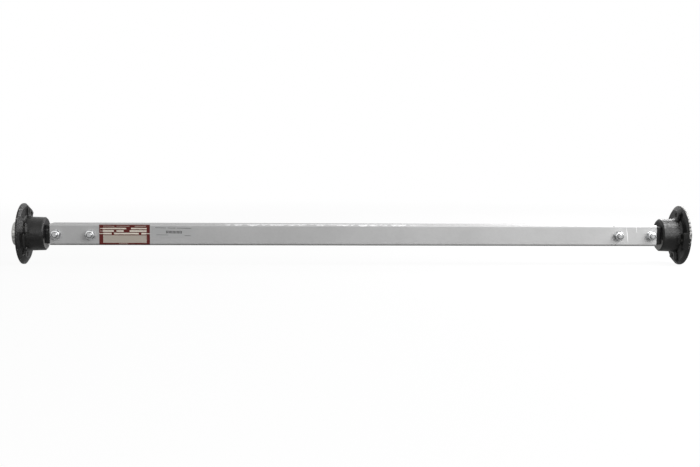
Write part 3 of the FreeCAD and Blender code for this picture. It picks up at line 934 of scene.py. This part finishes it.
def makeBolt(turn, x):
    own = crossBolt
    bm = bmesh.new()
    half, top, radius, root = own["flats"] / 2, -own["headHeight"], own["radius"], own["root"]
    low = half * hexShape["chamferFrom"]
    corner = hexAt(own["flats"], own["headHeight"], hexShape["chamferSlope"], low)
    loop = startLoop(bm, hexShape["segments"], ringAt(low * own["dish"][0], top + own["dishDepth"]))
    bmesh.ops.contextual_create(bm, geom=loop)
    for place in (
        ringAt(low * own["dish"][1], top),
        ringAt(low, top),
        lambda angle: Vector((corner(angle).x, corner(angle).y, -corner(angle).z)),
        hexAt(own["flats"], -own["collarHeight"]),
        ringAt(half * own["collar"], -own["collarHeight"]),
        ringAt(half * own["collar"], 0.0),
        ringAt(radius + own["fillet"], 0.0),
        ringAt(radius, own["fillet"]),
        ringAt(radius, own["threadFrom"] - own["runOut"]),
        ringAt(root, own["threadFrom"]),
        ringAt(root, own["length"] - own["endBevel"]),
        ringAt(root - own["endBevel"], own["length"]),
    ):
        loop = growLoop(bm, loop, place)
    bmesh.ops.contextual_create(bm, geom=loop)
    thread = bmesh.new()
    addThread(thread, own["threadFrom"] - own["threadLead"],
              own["length"] - own["threadFrom"] + own["threadMore"], own["pitch"],
              radius - own["crestUnder"], root - own["rootUnder"], own["tip"])
    joinInto(bm, thread)
    placed(bm, (x, own["back"], 0), (0, -1, 0), turn)
    return bm


crossNut = {
    "turns": (21.0, 49.0),
    "flats": 0.019,
    "height": 0.0108,
    "front": -0.0275,
    "bore": 0.00602,
    "mouth": 0.0065,
    "mouthDepth": 0.0005,
}


def makeNut(turn, x):
    own = crossNut
    bm = bmesh.new()
    low, slope = own["flats"] / 2 * hexShape["chamferFrom"], hexShape["chamferSlope"]
    lower = hexAt(own["flats"], 0.0, slope, low)
    loop = startLoop(bm, hexShape["segments"], ringAt(own["bore"], own["mouthDepth"]))
    for place in (
        ringAt(own["mouth"], 0.0),
        ringAt(low, 0.0),
        lambda angle: Vector((lower(angle).x, lower(angle).y, -lower(angle).z)),
        hexAt(own["flats"], own["height"], slope, low),
        ringAt(low, own["height"]),
        ringAt(own["mouth"], own["height"]),
        ringAt(own["bore"], own["height"] - own["mouthDepth"]),
        ringAt(own["bore"], own["mouthDepth"]),
    ):
        loop = growLoop(bm, loop, place)
    placed(bm, (x, own["front"], 0), (0, -1, 0), turn)
    return bm


def makeFasteners(side, sign):
    bolts, nuts = bmesh.new(), bmesh.new()
    for i in range(2):
        x = crossBolt["places"][i]
        joinInto(bolts, makeBolt(crossBolt["headTurns"][i], sign * x))
        joinInto(nuts, makeNut(crossNut["turns"][i], sign * x))
    piece = newPiece(side + "_cross_bolts", bolts, boltZinc, "axle")
    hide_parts(side + "_stub_bolts")
    piece = newPiece(side + "_hex_nuts", nuts, nutZinc, "axle")
    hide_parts(side + "_bolt_nuts")


makeFasteners("left", -1)
makeFasteners("right", 1)
print("cross bolts and nuts made")


# Threads in the wheel bolt holes

wheelThread = {
    "circle": 0.050,
    "first": {"left": 67.0, "right": 99.0},
    "start": 0.7732,
    "length": 0.0134,
    "pitch": 0.0015,
    "wall": 0.00522,
    "crest": 0.00488,
}


def makeWheelThreads(side, sign):
    own = wheelThread
    threads = bmesh.new()
    for i in range(4):
        angle = math.radians(own["first"][side] + 90 * i)
        bm = bmesh.new()
        addThread(bm, 0.0, own["length"], own["pitch"], own["wall"], own["crest"])
        for point in bm.verts:
            # Turned inside out, so that the ridges point into the hole
            radius = math.hypot(point.co.x, point.co.y)
            scale = (own["wall"] + own["crest"] - radius) / radius
            point.co.x *= scale
            point.co.y *= scale
        y, z = own["circle"] * math.cos(angle), own["circle"] * math.sin(angle)
        placed(bm, (sign * own["start"], y, z), (sign, 0, 0))
        joinInto(threads, bm)
    newPiece(side + "_hub_threads", threads, oiledThreadInShade, side + "_wheel_hub")


makeWheelThreads("left", -1)
makeWheelThreads("right", 1)
print("wheel bolt threads made")


# Printed fields on the labels

ratingPrint = {
    "front": -0.0254,
    "proud": 0.00005,
    # Each field: from and to along X, from and to along Z
    "cream": [(-0.5977, -0.5435, 0.0128, 0.0160), (-0.5324, -0.4965, 0.0128, 0.0160),
              (-0.5975, -0.5722, 0.0066, 0.0105), (-0.5664, -0.5496, 0.0066, 0.0105),
              (-0.5356, -0.4967, 0.0066, 0.0105),
              (-0.5966, -0.5774, 0.0007, 0.0044), (-0.5718, -0.5146, 0.0007, 0.0044),
              (-0.5085, -0.4970, 0.0007, 0.0044),
              (-0.6040, -0.5977, 0.0136, 0.0152), (-0.6040, -0.5975, 0.0081, 0.0090),
              (-0.6060, -0.5966, 0.0018, 0.0034), (-0.4970, -0.4892, 0.0016, 0.0034)],
    "tan": [(-0.5970, -0.4965, -0.0193, -0.0014), (-0.5970, -0.5710, 0.0193, 0.0206),
            (-0.5660, -0.5360, 0.0192, 0.0203), (-0.5240, -0.4980, 0.0191, 0.0206),
            (-0.5610, -0.5400, -0.0222, -0.0211)],
}


def addField(bm, field, front, proud):
    # A thin printed panel standing just proud of its label
    left, right, low, high = field
    made = bmesh.ops.create_cube(bm, size=1.0)["verts"]
    bmesh.ops.scale(bm, vec=(right - left, proud * 2, high - low), verts=made)
    bmesh.ops.translate(bm, vec=((left + right) / 2, front, (low + high) / 2), verts=made)


def makeFields(name, fields, material, front, proud, turn=0.0, about=None):
    bm = bmesh.new()
    for field in fields:
        addField(bm, field, front, proud)
    if turn:
        tilt = Matrix.Rotation(math.radians(turn), 3, "Y")
        bmesh.ops.rotate(bm, cent=about, matrix=tilt, verts=bm.verts)
    newPiece(name, bm, material, "axle")


for name, film in (("cream", creamFilm), ("tan", tanFilm)):
    makeFields("rating_label_" + name, ratingPrint[name], film, ratingPrint["front"],
               ratingPrint["proud"])

infoPrint = {
    "front": -0.0252,
    "proud": 0.00004,
    "centre": (-0.4318, 0.0, 0.0068),
    "tilt": 1.0,
    "barsFrom": -0.4515,
    "barsTo": -0.4137,
    "barCount": 12,
    "barLow": 0.0030,
    "barHigh": 0.0091,
    "barShare": 0.62,                  # of the step from one bar to the next
    "dashes": [(-0.477, -0.452, 0.0152, 0.0161), (-0.448, -0.430, 0.0152, 0.0161),
               (-0.426, -0.393, 0.0152, 0.0161),
               (-0.474, -0.446, -0.0012, -0.0004), (-0.408, -0.394, -0.0018, -0.0010)],
}


def makeInfoPrint():
    own = infoPrint
    step = (own["barsTo"] - own["barsFrom"]) / own["barCount"]
    bars = [(own["barsFrom"] + step * i, own["barsFrom"] + step * (i + own["barShare"]),
             own["barLow"], own["barHigh"]) for i in range(own["barCount"])]
    makeFields("info_label_marks", bars + own["dashes"], greyInk, own["front"], own["proud"],
               own["tilt"], own["centre"])


makeInfoPrint()
print("labels printed")


# Floor, world and lamps


def makeFloor():
    own = studio
    bm = bmesh.new()
    bmesh.ops.create_grid(bm, x_segments=1, y_segments=1, size=own["floorHalf"])
    bmesh.ops.translate(bm, vec=(0, 0, cadBox[0].z), verts=bm.verts)
    mesh = bpy.data.meshes.new("floor")
    bm.to_mesh(mesh)
    bm.free()
    material = bpy.data.materials.new("studioFloor")
    material.use_nodes = True
    tree = material.node_tree
    tree.nodes.remove(tree.nodes["Principled BSDF"])
    matte = addNode(tree, "ShaderNodeBsdfDiffuse")
    glow = addNode(tree, "ShaderNodeEmission")
    glow.inputs["Color"].default_value = colour(1, 1, 1)
    rays = addNode(tree, "ShaderNodeLightPath").outputs
    shade = remap(tree, rays["Is Camera Ray"], own["floorShade"], own["floorPale"])
    tree.links.new(shade, matte.inputs["Color"])
    mirrored = calc(tree, "MAXIMUM", rays["Is Glossy Ray"], rays["Is Transmission Ray"])
    away = addNode(tree, "ShaderNodeVectorMath", operation="LENGTH")
    tree.links.new(addNode(tree, "ShaderNodeTexCoord").outputs["Object"], away.inputs[0])
    plain = remap(tree, ease(tree, away.outputs["Value"], *own["glowFade"]), own["floorGlow"], 1.0)
    share = calc(tree, "MAXIMUM", product(tree, rays["Is Camera Ray"], plain),
                 product(tree, mirrored, own["floorMirror"]))
    mix = addNode(tree, "ShaderNodeMixShader")
    feed(tree, mix.inputs[0], share)
    tree.links.new(matte.outputs[0], mix.inputs[1])
    tree.links.new(glow.outputs[0], mix.inputs[2])
    tree.links.new(mix.outputs[0], tree.nodes["Material Output"].inputs["Surface"])
    mesh.materials.append(material)
    floor = bpy.data.objects.new("floor", mesh)
    bpy.context.scene.collection.objects.link(floor)


def makeWorld():
    world = bpy.data.worlds.new("studioWorld")
    bpy.context.scene.world = world
    world.use_nodes = True
    tree = world.node_tree
    fill = tree.nodes["Background"]
    fill.inputs["Color"].default_value = colour(1, 1, 1)
    rays = addNode(tree, "ShaderNodeLightPath").outputs
    up = splitVector(tree, addNode(tree, "ShaderNodeTexCoord").outputs["Generated"])[2]
    height = ease(tree, up, *studio["fillRise"])
    mirrored = calc(tree, "MAXIMUM", rays["Is Glossy Ray"], rays["Is Transmission Ray"])
    low = remap(tree, mirrored, studio["fillLow"], studio["mirrorLow"])
    high = remap(tree, mirrored, studio["fillHigh"], studio["mirrorHigh"])
    room = remap(tree, height, low, high)
    feed(tree, fill.inputs["Strength"], remap(tree, rays["Is Camera Ray"], room, 1.0))


def addLamp(name, place, aim, size, power):
    data = bpy.data.lights.new(name, "AREA")
    data.shape = "RECTANGLE"
    data.size, data.size_y = size
    data.energy = power
    lamp = bpy.data.objects.new(name, data)
    turn = (Vector(aim) - Vector(place)).to_track_quat("-Z", "Y")
    lamp.matrix_world = Matrix.Translation(place) @ turn.to_matrix().to_4x4()
    bpy.context.scene.collection.objects.link(lamp)


makeFloor()
makeWorld()
for lampName, (place, aim, size, power) in studio["lamps"].items():
    addLamp(lampName, place, aim, size, power)
print("studio made")
